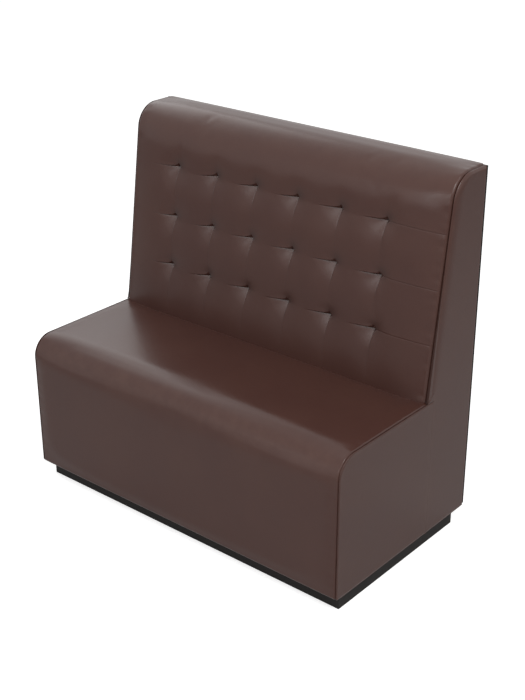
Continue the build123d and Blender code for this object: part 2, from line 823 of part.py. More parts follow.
def all_pieces():
    """Every node's name and shape."""
    pieces = {
        "plinth_corner_blocks": plinth_corner_blocks(),
        "leveller_inserts": leveller_inserts(),
        "base_board": base_board(),
        "plinth_screws": Compound(screws(plinth_screw_places, plinth_screw_length)),
        "seat_corner_blocks": seat_corner_blocks(),
        "seat_springs": seat_springs(),
        "spring_clips": spring_clips(),
        "spring_insulator": block(-frame_x, frame_x, box_front_y, seat_rear_y, box_top_z, foam_z),
        "seat_box_screws": Compound(screws(box_screw_places)),
        "seat_foam": seat_foam(),
        "seat_front_pad": seat_front_pad(),
        "seat_cover": seat_cover(),
        "tufting_board": tufting_board(),
        "tuft_ties": tuft_ties(),
        "tuft_washers": tuft_washers(),
        "back_frame_screws": Compound(screws(back_screw_places)),
        "back_foam": back_foam(),
        "back_cover": back_cover(),
        "rear_panel": rear_panel(),
        "rear_panel_screws": Compound(screws(panel_screw_places, panel_screw_length)),
    }
    pieces.update(plinth_rails())
    pieces.update(seat_box())
    pieces.update(spring_rails())
    pieces.update(back_gables())
    pieces.update(back_boards())
    pieces.update(joining_hardware())
    pairs = {
        "seat_{}_pad": seat_side_pads(),
        "seat_{}_cover": seat_side_covers(),
        "back_{}_pad": back_side_pads(),
        "back_{}_cover": back_side_covers(),
    }
    for name, (left, right) in pairs.items():
        pieces[name.format("left")] = left
        pieces[name.format("right")] = right
    for corner, (x, y) in corners.items():
        pieces[f"leveller_pad_{corner}"] = Pos(x, y, 0) * leveller_pad()
        pieces[f"leveller_stem_{corner}"] = Pos(x, y, 0) * leveller_stem()
    return pieces


os.makedirs("parts", exist_ok=True)
for node, shape in all_pieces().items():
    export_step(shape, f"parts/{node}.step")
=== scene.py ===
import json
import math

import bmesh
import bpy
import numpy as np
from mathutils import Matrix


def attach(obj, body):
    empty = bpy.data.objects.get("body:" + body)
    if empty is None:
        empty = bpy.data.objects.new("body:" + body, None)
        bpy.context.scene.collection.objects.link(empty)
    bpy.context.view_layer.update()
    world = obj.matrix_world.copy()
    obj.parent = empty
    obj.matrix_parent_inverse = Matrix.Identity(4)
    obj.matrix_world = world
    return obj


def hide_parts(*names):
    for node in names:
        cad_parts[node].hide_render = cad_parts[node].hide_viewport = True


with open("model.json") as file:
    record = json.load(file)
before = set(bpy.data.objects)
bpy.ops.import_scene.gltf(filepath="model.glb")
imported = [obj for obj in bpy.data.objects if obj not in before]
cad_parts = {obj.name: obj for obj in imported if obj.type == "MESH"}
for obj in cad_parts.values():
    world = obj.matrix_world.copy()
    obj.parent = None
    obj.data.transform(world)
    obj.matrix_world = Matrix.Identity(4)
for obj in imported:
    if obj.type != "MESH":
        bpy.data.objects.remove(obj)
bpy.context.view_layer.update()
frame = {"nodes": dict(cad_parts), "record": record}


# Camera.
# It stands where the photograph was taken: the place and the lens were worked out from the booth's
# straight edges and tuft points, in the same frame as the model.
camera_data = bpy.data.cameras.new("camera")
camera_data.sensor_width = 36.0
camera_data.lens = 65.81
camera = bpy.data.objects.new("camera", camera_data)
bpy.context.scene.collection.objects.link(camera)
camera_right = np.array([0.76593, 0.64292, -0.00255])
camera_up = np.array([-0.27260, 0.32834, 0.90437])
camera_back = np.cross(camera_right, camera_up)
camera_matrix = np.eye(4)
camera_matrix[:3, 0] = camera_right
camera_matrix[:3, 1] = camera_up
camera_matrix[:3, 2] = camera_back
camera_matrix[:3, 3] = (2.2920, -2.6437, 2.1671)
camera.matrix_world = Matrix(camera_matrix)
bpy.context.scene.camera = camera
bpy.context.scene.view_settings.view_transform = "Standard"


# Floor and room.
# A white sweep with no edge in sight. The camera and the leatherette's reflections see plain white,
# and the floor still takes the booth's soft shadow. It lies a hair under the plinth. From below it
# is clear, and light that leaves the booth's underside passes through it.
room_light = 0.4
floor_z = -0.0003
floor_reach = 30
floor_glow = 0.72
floor_mirrored = 0.02
underside_gap = 0.002


def linear(hex_colour):
    """The linear colour of an sRGB hex value: each channel through the sRGB curve, with alpha 1."""
    channels = [int(hex_colour[k:k + 2], 16) / 255 for k in (0, 2, 4)]
    return [c / 12.92 if c <= 0.04045 else ((c + 0.055) / 1.055) ** 2.4 for c in channels] + [1.0]


def add_node(tree, kind, inputs=None, **settings):
    """One new node. settings are its own options. Each of inputs is a value for that input, or a
    (node, output) pair that is linked to it."""
    node = tree.nodes.new(kind)
    for name, value in settings.items():
        setattr(node, name, value)
    for name, value in (inputs or {}).items():
        if isinstance(value, tuple) and isinstance(value[0], bpy.types.Node):
            tree.links.new(value[0].outputs[value[1]], node.inputs[name])
        else:
            node.inputs[name].default_value = value
    return node


def new_tree(owner):
    """The owner's node tree, emptied."""
    owner.use_nodes = True
    owner.node_tree.nodes.clear()
    return owner.node_tree


world = bpy.data.worlds.new("room")
bpy.context.scene.world = world
tree = new_tree(world)
path = add_node(tree, "ShaderNodeLightPath")
seen = add_node(
    tree, "ShaderNodeMath",
    {0: (path, "Is Camera Ray"), 1: (path, "Is Glossy Ray")}, operation="MAXIMUM",
)
seen = add_node(
    tree, "ShaderNodeMath",
    {0: (seen, 0), 1: (path, "Is Transmission Ray")}, operation="MAXIMUM",
)
strength = add_node(
    tree, "ShaderNodeMapRange", {"Value": (seen, 0), "To Min": room_light, "To Max": 1.0},
)
sky = add_node(
    tree, "ShaderNodeBackground", {"Color": linear("ffffff"), "Strength": (strength, "Result")},
)
add_node(tree, "ShaderNodeOutputWorld", {"Surface": (sky, 0)})

floor_mesh = bpy.data.meshes.new("floor")
floor_corners = [
    (side_x * floor_reach, side_y * floor_reach, floor_z)
    for side_x, side_y in ((-1, -1), (1, -1), (1, 1), (-1, 1))
]
floor_mesh.from_pydata(floor_corners, [], [(0, 1, 2, 3)])
floor = bpy.data.objects.new("floor", floor_mesh)
bpy.context.scene.collection.objects.link(floor)
floor_paint = bpy.data.materials.new("white_studio_floor")
tree = new_tree(floor_paint)
path = add_node(tree, "ShaderNodeLightPath")
matt = add_node(tree, "ShaderNodeBsdfDiffuse", {"Color": linear("e4e4e4")})
mirrored = add_node(
    tree, "ShaderNodeMath", {0: (path, "Is Glossy Ray"), 1: floor_mirrored}, operation="MULTIPLY",
)
seen = add_node(
    tree, "ShaderNodeMath",
    {0: (path, "Is Camera Ray"), 1: floor_glow, 2: (mirrored, 0)}, operation="MULTIPLY_ADD",
)
glow = add_node(tree, "ShaderNodeEmission", {"Color": linear("ffffff"), "Strength": (seen, 0)})
both = add_node(tree, "ShaderNodeAddShader", {0: (matt, 0), 1: (glow, 0)})
side_seen = add_node(tree, "ShaderNodeNewGeometry")
close_by = add_node(
    tree, "ShaderNodeMath", {0: (path, "Ray Length"), 1: underside_gap}, operation="LESS_THAN",
)
passes = add_node(
    tree, "ShaderNodeMath", {0: (side_seen, "Backfacing"), 1: (close_by, 0)}, operation="MAXIMUM",
)
clear = add_node(tree, "ShaderNodeBsdfTransparent")
surface = add_node(tree, "ShaderNodeMixShader", {0: (passes, 0), 1: (both, 0), 2: (clear, 0)})
add_node(tree, "ShaderNodeOutputMaterial", {"Surface": (surface, 0)})
floor_mesh.materials.append(floor_paint)


# Studio lamps.
# Large soft boxes: the key above and to the right, one far in front, which the tiles' corners at
# the tufts catch, one behind on the left, which runs along the top roll and the seat's nose, and a
# weak one on the right.
def soft_box(name, place, target, size, power):
    """A rectangular area lamp at place, turned to face target."""
    lamp_data = bpy.data.lights.new(name, "AREA")
    lamp_data.shape = "RECTANGLE"
    lamp_data.size, lamp_data.size_y = size
    lamp_data.energy = power
    lamp = bpy.data.objects.new(name, lamp_data)
    bpy.context.scene.collection.objects.link(lamp)
    back = np.array(place, float) - np.array(target, float)
    back /= np.linalg.norm(back)
    right = np.cross((0, 0, 1), back)
    right /= np.linalg.norm(right)
    matrix = np.eye(4)
    matrix[:3, 0] = right
    matrix[:3, 1] = np.cross(back, right)
    matrix[:3, 2] = back
    matrix[:3, 3] = place
    lamp.matrix_world = Matrix(matrix)
    return lamp


soft_box("key_box", (2.3, -1.6, 4.1), (0.1, -0.1, 0.5), (2.0, 2.0), 94)
soft_box("front_box", (-1.6, -8.1, 3.9), (0, 0, 0.85), (3.4, 2.4), 84)
soft_box("rear_box", (-4.2, 1.7, 3.8), (0, 0, 0.6), (3.4, 2.4), 39)
soft_box("right_box", (4.2, 0.6, 2.2), (0, 0, 0.6), (2.0, 2.0), 3)


# Seat cushion.
# One piece of leatherette over a foam block: under the bottom edge, up the front, round the nose
# and over the top to the back. It is crowned, and rolls in to the side panels' seams at its ends.
MM = 0.001
half_length = 600.0
cover = 1.2
front_y = -322.913
rear_board_y = 319.913
seat_top = 495.0
seat_rear_y = 114.087
back_face_y = 88.087
plinth_top = 52.5
box_low = 53.7
box_front_y = -301.713
foam_low = 408.8
nose_radius = 67.0
seat_seam_inset = 5.5
seat_seam_drop = 6.0
seat_seam_width = 5.0
panel_edge_drop = 1.0
hem_width = 35.0
hem_radius = 10.0
stapled_height = 12.0
seat_crown = 1.5
seat_pressure = 4.0
seat_swell = 5.0
seat_pucker = 0.3
pucker_waves = ((31, 1.0, 0), (47, 0.8, 1), (83, 0.7, 2))
pucker_reach = 22.0
nose_wear = 0.35
nose_wear_reach = 40.0


def graded(low, high, marks, fine, coarse, reach):
    """Grid lines from low to high, a fine step apart at each mark, widening to a coarse step at a
    distance of reach from it. Each mark is a line itself."""
    marks = np.asarray(marks, float)
    dense = np.linspace(low, high, 20001)
    distance = np.min(np.abs(dense[:, None] - marks[None, :]), axis=1)
    step = fine + (coarse - fine) * np.clip(distance / reach, 0, 1)
    travelled = np.concatenate([[0], np.cumsum(np.diff(dense) / step[1:])])
    lines = np.interp(np.linspace(0, travelled[-1], int(travelled[-1]) + 2), travelled, dense)
    lines[np.argmin(np.abs(lines[:, None] - marks[None, :]), axis=0)] = marks
    return lines


def rolled(distance, width):
    """How far a padded edge has rolled in at a distance from its seam, as a share of the whole: a
    quarter ellipse, 1 at the seam and 0 from width on."""
    share = np.clip(1 - distance / width, 0, 1)
    return 1 - np.sqrt(1 - share ** 2)


def arc(centre, radius, start, end, count):
    """Points on a circle's arc, the angles in degrees from the first axis towards the second."""
    angle = np.radians(np.linspace(start, end, count))
    return np.asarray(centre) + radius * np.stack([np.cos(angle), np.sin(angle)], axis=-1)


def run(start, end, step):
    """Points on a straight line, about a step apart, without its last point."""
    count = max(int(math.dist(start, end) / step), 1)
    share = np.arange(count)[:, None] / count
    return np.asarray(start) * (1 - share) + np.asarray(end) * share


def normals_of(line):
    """The unit normals on the left of a line of points in a plane."""
    along = np.gradient(line, axis=0)
    along /= np.linalg.norm(along, axis=1)[:, None]
    return np.stack([-along[:, 1], along[:, 0]], axis=-1)


def tube_faces(rings, around, first=0):
    """Quads between neighbouring rings of points, and a face over each end."""
    index = first + np.arange(rings * around).reshape(rings, around)
    beside = np.roll(index, -1, axis=1)
    quads = np.stack([index[:-1], beside[:-1], beside[1:], index[1:]], axis=-1).reshape(-1, 4)
    return quads.tolist() + [index[0][::-1].tolist(), index[-1].tolist()]


def new_piece(name, tubes, sharp=40, **attributes):
    """A mesh object from closed tubes, each an array of rings of points in millimetres. Each of
    attributes holds one value a point. Edges that bend by more than the sharp angle stay crisp."""
    points, faces = [], []
    for rings in tubes:
        faces += tube_faces(rings.shape[0], rings.shape[1], sum(len(p) for p in points))
        points.append(rings.reshape(-1, 3) * MM)
    points = np.concatenate(points)
    mesh = bpy.data.meshes.new(name)
    mesh.from_pydata(points.tolist(), [], faces)
    for attribute, values in attributes.items():
        data = np.zeros(len(points))
        data[:values.size] = values.reshape(-1)
        mesh.attributes.new(attribute, "FLOAT", "POINT").data.foreach_set("value", data)
    shape = bmesh.new()
    shape.from_mesh(mesh)
    bmesh.ops.recalc_face_normals(shape, faces=shape.faces)
    shape.to_mesh(mesh)
    shape.free()
    mesh.shade_smooth()
    mesh.set_sharp_from_angle(angle=math.radians(sharp))
    piece = bpy.data.objects.new(name, mesh)
    bpy.context.scene.collection.objects.link(piece)
    return piece


def cloth_filled(name, sheet, held, pressure, cap):
    """How far each point of a sheet moves out when foam fills it from behind: a cloth simulation of 20
    frames with pressure and no gravity. sheet is a grid of points in millimetres that faces out,
    held says how firmly each is sewn or tied down, from 0 to 1, and cap is the most that one may
    move."""
    index = np.arange(sheet.shape[0] * sheet.shape[1]).reshape(sheet.shape[:2])
    quads = np.stack([index[:-1, :-1], index[1:, :-1], index[1:, 1:], index[:-1, 1:]], axis=-1)
    mesh = bpy.data.meshes.new(name)
    mesh.from_pydata((sheet.reshape(-1, 3) * MM).tolist(), [], quads.reshape(-1, 4).tolist())
    cloth = bpy.data.objects.new(name, mesh)
    bpy.context.scene.collection.objects.link(cloth)
    group = cloth.vertex_groups.new(name="held")
    held = np.round(held.reshape(-1), 1)
    for weight in np.unique(held[held > 0]):
        group.add(np.flatnonzero(held == weight).tolist(), float(weight), "REPLACE")
    modifier = cloth.modifiers.new("cloth", "CLOTH")
    modifier.settings.vertex_group_mass = "held"
    modifier.settings.effector_weights.gravity = 0.0
    modifier.settings.use_pressure = True
    modifier.settings.uniform_pressure_force = pressure
    modifier.collision_settings.use_collision = False
    for moment in range(1, 21):
        bpy.context.scene.frame_set(moment)
    settled = cloth.evaluated_get(bpy.context.evaluated_depsgraph_get())
    points = np.empty(sheet.size)
    settled.data.vertices.foreach_get("co", points)
    moved = points.reshape(sheet.shape) / MM - sheet
    bpy.context.scene.frame_set(1)
    bpy.data.objects.remove(cloth)
    distance = np.linalg.norm(moved, axis=-1, keepdims=True)
    return moved * np.minimum(1, cap / np.maximum(distance, 1e-6))


def spread(values, coarse_a, coarse_b, fine_a, fine_b):
    """A grid of values smoothly carried over to a finer grid: each new value is the mean of the old
    ones, weighted by a bell curve as wide as the old grid's step."""
    blends = []
    for coarse, fine in ((coarse_a, fine_a), (coarse_b, fine_b)):
        weight = np.exp(-((fine[:, None] - coarse[None, :]) / (coarse[1] - coarse[0])) ** 2)
        blends.append(weight / weight.sum(axis=1, keepdims=True))
    return blends[0] @ values @ blends[1].T


def puckers(along, from_seam, depth):
    """The small ripples that a sewn edge leaves in the cover: sine waves of different lengths,
    heights and starts along the seam, added, that die away from it by a bell curve."""
    waves = sum(
        share * np.sin(2 * np.pi * along / length + start) for length, share, start in pucker_waves
    )
    return depth * waves * np.exp(-(from_seam / pucker_reach) ** 2)


def with_x(x, line):
    """Points from their x, one a row or one each, and a grid of their (y, z)."""
    x = np.asarray(x)
    x = np.broadcast_to(x if x.ndim == 2 else x[:, None], line.shape[:2])
    return np.concatenate([x[..., None], line], axis=-1)


def seat_line():
    """The seat's outline from the hem's end to the rear, in (y, z)."""
    hem_end = (front_y + hem_width, plinth_top)
    hem = arc((front_y + hem_radius, plinth_top + hem_radius), hem_radius, 270, 180, 9)
    nose = arc((front_y + nose_radius, seat_top - nose_radius), nose_radius, 180, 90, 33)
    return np.concatenate([
        run(hem_end, tuple(hem[0]), step=8), hem,
        run(tuple(hem[-1]), tuple(nose[0]), step=5)[1:], nose,
        run(tuple(nose[-1]), (seat_rear_y, seat_top), step=5)[1:], [(seat_rear_y, seat_top)],
    ])


line = seat_line()
outward = normals_of(line)
seat_end = half_length - seat_seam_inset
seat_x = graded(-seat_end, seat_end, [-seat_end, seat_end], fine=0.6, coarse=14, reach=60)
inset = seat_seam_drop * rolled(seat_end - np.abs(seat_x), seat_seam_width)
nose_end = front_y + nose_radius
on_top = np.clip((line[:, 0] - nose_end) / (back_face_y - nose_end), 0, 1)
on_top[line[:, 1] < seat_top - 1] = 0
crown = (
    seat_crown * np.sin(np.pi * on_top)[None, :]
    * (1 - 0.5 * np.abs(seat_x / half_length) ** 2.5)[:, None]
)
along = np.concatenate([[0], np.cumsum(np.linalg.norm(np.diff(line, axis=0), axis=1))])
coarse_x = np.linspace(-seat_end, seat_end, 100)
coarse_along = np.linspace(0, along[-1], 76)
coarse_line = np.stack([np.interp(coarse_along, along, line[:, k]) for k in (0, 1)], axis=-1)
sheet = with_x(coarse_x, np.repeat(coarse_line[None], len(coarse_x), axis=0))
held = np.zeros(sheet.shape[:2])
held[[0, -1]] = 1
held[:, sheet[0, :, 2] < plinth_top + stapled_height] = 1
held[:, sheet[0, :, 1] > back_face_y] = 1
facing = np.stack([np.interp(coarse_along, along, outward[:, k]) for k in (0, 1)], axis=-1)
moved = cloth_filled("seat_cloth", sheet, held, seat_pressure, seat_swell)
swell = np.sum(moved[..., 1:] * facing[None], axis=-1)
swell = spread(swell, coarse_x, coarse_along, seat_x, along)
from_seam = (seat_end - np.abs(seat_x))[:, None]
lift = crown + swell - inset[:, None] + puckers(along[None], from_seam, seat_pucker)
outer = line[None, :, :] + outward[None, :, :] * lift[:, :, None]
outer[:, line[:, 0] > seat_rear_y - 1, 0] = seat_rear_y
low_edge = line[:, 1] < plinth_top + 0.01
outer[:, low_edge, 1] = plinth_top
inner = np.array([
    (seat_rear_y, foam_low), (box_front_y, foam_low), (box_front_y, box_low),
    (front_y + hem_width, box_low),
])
loop = np.concatenate([outer, np.repeat(inner[None], len(seat_x), axis=0)], axis=1)
before_top = line[:, 1] < seat_top
nose_middle = np.interp(seat_top - 0.4 * nose_radius, line[before_top, 1], along[before_top])
wear = nose_wear * np.exp(-((along - nose_middle) / nose_wear_reach) ** 2)
wear = np.repeat(np.concatenate([wear, np.zeros(len(inner))])[None], len(seat_x), axis=0)
seat_cushion = new_piece("seat_cushion", [with_x(seat_x, loop)], wear=wear)
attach(seat_cushion, "booth")
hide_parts("seat_cover", "seat_foam", "seat_front_pad")


# Leatherette.
# Polyurethane-coated fabric, embossed with a fine pebble grain and finished semi-gloss: a dark
# reddish brown, with soft broad reflections. It is rubbed paler in patches where it is stretched
# round an edge, and painted shade darkens it in the creases, grooves and seams and round the tufts.
drift_mm = 180.0
patch_mm = 45.0
crease_mm = 24.0
pebble_mm = 1.3
pebble_depth_mm = 0.16
crease_depth_mm = 0.6


def leatherette():
    """Pebbles from a Voronoi pattern and shallow creases from noise for the relief, and broad noise
    for the colour's and the gloss's drift. The tuck attribute darkens the colour: painted
    shade in the creases, grooves and seams. The wear one, broken up by noise, makes it paler."""
    material = bpy.data.materials.new("leatherette_semi_gloss")
    tree = new_tree(material)
    place = add_node(tree, "ShaderNodeTexCoord")
    drift = add_node(
        tree, "ShaderNodeTexNoise",
        {
            "Vector": (place, "Object"), "Scale": 1 / (drift_mm * MM),
            "Detail": 3.0, "Roughness": 0.55,
        },
    )
    drift_colour = add_node(
        tree, "ShaderNodeMix",
        {"Factor": (drift, "Fac"), "A": linear("472c27"), "B": linear("4f332b")}, data_type="RGBA",
    )
    # Painted shade: this attribute mixes a near-black brown into the colour where the creases, grooves
    # and seams would fall in shade.
    tuck = add_node(tree, "ShaderNodeAttribute", attribute_name="tuck")
    shade_painted_colour = add_node(
        tree, "ShaderNodeMix",
        {"Factor": (tuck, "Fac"), "A": (drift_colour, "Result"), "B": linear("2f1d18")},
        data_type="RGBA",
    )
    wear = add_node(tree, "ShaderNodeAttribute", attribute_name="wear")
    patches = add_node(
        tree, "ShaderNodeTexNoise",
        {
            "Vector": (place, "Object"), "Scale": 1 / (patch_mm * MM),
            "Detail": 4.0, "Roughness": 0.65,
        },
    )
    patchy = add_node(
        tree, "ShaderNodeMapRange",
        {
            "Value": (patches, "Fac"), "From Min": 0.4, "From Max": 0.65,
            "To Min": 0.35, "To Max": 1.3,
        },
    )
    rubbed = add_node(
        tree, "ShaderNodeMath", {0: (wear, "Fac"), 1: (patchy, 0)}, operation="MULTIPLY",
    )
    worn = add_node(
        tree, "ShaderNodeMix",
        {"Factor": (rubbed, 0), "A": (shade_painted_colour, "Result"), "B": linear("5a4038")}, data_type="RGBA",
    )
    pebbles = add_node(
        tree, "ShaderNodeTexVoronoi",
        {"Vector": (place, "Object"), "Scale": 1 / (pebble_mm * MM), "Randomness": 0.9},
        feature="SMOOTH_F1",
    )
    creases = add_node(
        tree, "ShaderNodeTexNoise",
        {
            "Vector": (place, "Object"), "Scale": 1 / (crease_mm * MM),
            "Detail": 5.0, "Roughness": 0.6,
        },
    )
    grain = add_node(
        tree, "ShaderNodeBump",
        {"Height": (pebbles, "Distance"), "Strength": 0.45, "Distance": pebble_depth_mm * MM},
    )
    relief = add_node(
        tree, "ShaderNodeBump",
        {
            "Height": (creases, "Fac"), "Strength": 0.3, "Distance": crease_depth_mm * MM,
            "Normal": (grain, "Normal"),
        },
    )
    gloss = add_node(
        tree, "ShaderNodeMapRange", {"Value": (drift, "Fac"), "To Min": 0.26, "To Max": 0.33},
    )
    shader = add_node(
        tree, "ShaderNodeBsdfPrincipled",
        {
            "Base Color": (worn, "Result"), "Roughness": (gloss, "Result"), "IOR": 1.42,
            "Normal": (relief, "Normal"),
        },
    )
    add_node(tree, "ShaderNodeOutputMaterial", {"Surface": (shader, 0)})
    return material


leather = leatherette()
seat_cushion.data.materials.append(leather)


# Seat side panels.
# A flat end of leatherette over thin foam, sewn to the seat cover round the front, the nose and the
# top, and rolled under the bottom edge, where it is stapled.
panel_pucker = 0.08
panel_insets = np.array([0, 0.4, 1, 2, 3.2, 4.6, 6.2, 8, 10.5, 14, 18, 23, 29, 36, 46, 58])
panel_counts = (40, 13)
edge_wear = 0.25
edge_wear_inset = 7.0
edge_wear_width = 5.0
edge_thickness = 0.3
pucker_period = 120.0
pad_x = (592.8, 598.6)
hem_x = (583.0, 593.4)


def rounded_outline(corners, radii, inset, counts):
    """The outline of a polygon with rounded corners, moved in by an inset. Its sides shift along
    their own normals, and each side and each corner keeps its number of points at every inset."""
    corners = np.asarray(corners, float)
    ahead = np.roll(corners, -1, axis=0) - corners
    ahead /= np.linalg.norm(ahead, axis=1)[:, None]
    behind = np.roll(ahead, 1, axis=0)
    inward = np.stack([-ahead[:, 1], ahead[:, 0]], axis=-1)
    inward_behind = np.roll(inward, 1, axis=0)
    bend = 1 + np.sum(inward * inward_behind, axis=1)
    moved = corners + inset * (inward + inward_behind) / bend[:, None]
    turn = behind[:, 0] * ahead[:, 1] - behind[:, 1] * ahead[:, 0]
    left = np.where(turn > 0, np.maximum(np.asarray(radii) - inset, 0.2), radii)
    half_turn = np.abs(np.arctan2(turn, np.sum(behind * ahead, axis=1))) / 2
    trim = left * np.tan(half_turn)
    share = np.linspace(0, 1, counts[1])[None, :, None]
    enter = (moved - behind * trim[:, None])[:, None]
    leave = (moved + ahead * trim[:, None])[:, None]
    side = np.sign(turn)[:, None]
    middle = (moved - behind * trim[:, None] + inward_behind * side * left[:, None])[:, None]
    first = enter - middle
    sweep = (2 * half_turn * np.sign(turn))[:, None] * share[..., 0]
    cos, sin = np.cos(sweep)[..., None], np.sin(sweep)[..., None]
    across = np.stack([-first[..., 1], first[..., 0]], axis=-1)
    bends = middle + first * cos + across * sin
    along = np.linspace(0, 1, counts[0] + 2)[None, 1:-1, None]
    next_enter = np.roll(enter, -1, axis=0)
    sides = leave * (1 - along) + next_enter * along
    return np.concatenate([bends, sides], axis=1).reshape(-1, 2)


def along_outline(values, counts):
    """One value for each corner, carried to all points of a rounded outline: it changes evenly over
    each bend, from the last corner's value to its own, and stays over the side that follows."""
    values = np.asarray(values, float)
    change = values - np.roll(values, 1)
    bends = values[:, None] + change[:, None] * (np.linspace(0, 1, counts[1])[None] - 1)
    sides = np.repeat(values[:, None], counts[0], axis=1)
    return np.concatenate([bends, sides], axis=1).reshape(-1)


def side_panel(name, corners, radii, drops, widths, skin_x, pad, hem, side):
    """A padded side panel on one side of the booth: rings of one outline, each further in from the
    edge, that rise to the flat face by a quarter ellipse, with puckers. drops and widths give, for
    each corner and the side that follows it, how deep and how wide the edge rolls. pad and hem are
    the foam behind and the strip turned under, as (x0, x1, y0, y1, z0, z1)."""
    drops = along_outline(drops, panel_counts)
    widths = along_outline(widths, panel_counts)
    rings = []
    for inset in panel_insets:
        outline = rounded_outline(corners, radii, inset, panel_counts)
        steps = np.linalg.norm(np.roll(outline, -1, axis=0) - outline, axis=1)
        travelled = np.concatenate([[0], np.cumsum(steps)[:-1]])
        travelled *= round(travelled[-1] / pucker_period) * pucker_period / travelled[-1]
        x = half_length - drops * rolled(inset, widths)
        x += puckers(travelled, inset, panel_pucker)
        rings.append(np.concatenate([x[:, None], outline], axis=1))
    edge = rings[0].copy()
    edge[:, 0] = np.minimum(edge[:, 0] - edge_thickness, skin_x)
    rings = np.stack([edge] + rings)
    from_edge = np.concatenate([[0], panel_insets])
    wear = edge_wear * np.exp(-((from_edge - edge_wear_inset) / edge_wear_width) ** 2)
    wear = np.repeat(wear[:, None], rings.shape[1], axis=1)
    tubes = [rings]
    for x0, x1, y0, y1, z0, z1 in (pad, hem):
        square = [(y0, z0), (y1, z0), (y1, z1), (y0, z1)]
        square = rounded_outline(square, radii=[0.4] * 4, inset=0, counts=(6, 4))
        tubes.append(np.stack([np.insert(square, 0, x, axis=1) for x in (x0, x1)]))
    for tube in tubes:
        tube[..., 0] *= side
    return new_piece(name, tubes, sharp=50, wear=wear)


panel_front = front_y + panel_edge_drop
panel_top = seat_top - panel_edge_drop
seat_panel_corners = [
    (panel_front, plinth_top), (seat_rear_y, plinth_top),
    (seat_rear_y, panel_top), (panel_front, panel_top),
]
for side_name, side in (("left", -1), ("right", 1)):
    seat_panel = side_panel(
        f"seat_{side_name}_panel", seat_panel_corners,
        radii=[hem_radius, 0.5, 0.5, nose_radius - panel_edge_drop],
        drops=[6.5, 0.2, 1.6, 1.6], widths=[8.0, 2.0, 5.0, 6.0],
        skin_x=half_length - cover,
        pad=(*pad_x, box_front_y, seat_rear_y, box_low, foam_low),
        hem=(*hem_x, front_y + hem_width + 2.5, seat_rear_y, plinth_top, box_low),
        side=side,
    )
    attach(seat_panel, "booth")
    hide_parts(f"seat_{side_name}_cover", f"seat_{side_name}_pad")
    seat_panel.data.materials.append(leather)


# Back cushion.
# Leatherette over foam, tufted in squares: hidden ties pull the cover down at each crossing, and
# the spare cloth is folded along straight lines between them. Above the top row it runs smooth
# over the roll and along the flat top to the rear board.
lean = math.radians(8.0)
slope_length = 579.17
roll_centre = (247.913, 1057.4)
roll_radius = 80.0
back_foot = 495.3
back_depth = 56.2
columns = np.array([-395.0, -237.0, -79.0, 79.0, 237.0, 395.0])
rows = np.array([171.0, 329.5, 488.0])
column_pitch = 158.0
row_pitch = 158.5
back_fill = 13.5
top_fill = 2.0
seam_fill = 5.0
pillow_rise = 1.5
tuft_pull = 10.0
tuft_reach_right = 14.0
tuft_reach_below = 62.0
tuft_reach_above = 14.0
tuft_hollow = 4.0
tuft_hollow_reach = 28.0
tuft_power = 1.1
top_row_power = 0.8
top_row_fade = 14.0
tuft_bend = 1.3
crease_sharp = 0.7
crease_soft = 9.0
crease_fade = 12.0
pillow_fade = 20.0
run_out_start = 55.0
run_out_margin = 40.0
edge_reach = 60.0
edge_power = 1.5
back_pressure = 4.0
back_swell = 4.0
fold_hold = 0.2
fold_hold_width = 6.0
tuft_hold_width = 9.0
fold_step = 3.6
fold_fade = 7.0
fold_sag = np.array([6.0, 9.0, 6.0, 5.0, 3.5, 3.0])
reach_left = np.array([66.0, 68.0, 74.0, 78.0, 82.0, 84.0])
fold_bow = 6.5
fold_lip = 0.5
fold_lip_reach = 7.0
fold_lip_fade = 12.0
fold_groove = 0.6
fold_groove_reach = 1.4
row_fold_shows = (0.4, 0.45)
column_fold_shows = (0.1, 0.6)
column_fold_least = 0.2
end_fold = 0.7
end_fold_start = 30.0
column_groove_fade = 9.0
tuft_shade = 0.5
tuft_shade_place = (8.0, 9.0)
tuft_shade_reach = 17.0
point_shade = 0.2
point_shade_reach = 6.0
groove_shade = 0.2
seam_shade = 0.7
back_seam_inset = 10.5
back_seam_drop = 9.0
back_seam_width = 8.0
back_pucker = 0.45
roll_wear = 0.2
roll_wear_reach = 45.0
hang_reach = 90.0
bow_reach = 150.0
back_start = 2.0
inner_bend = 60.0
back_end = half_length - back_seam_inset


def between(values, marks):
    """A parabola's arch between each two neighbouring marks: 0 at both and beyond the outer marks,
    1 halfway."""
    spot = np.clip(np.interp(values, marks, np.arange(len(marks))), 0, len(marks) - 1)
    share = spot - np.floor(spot)
    return 4 * share * (1 - share)


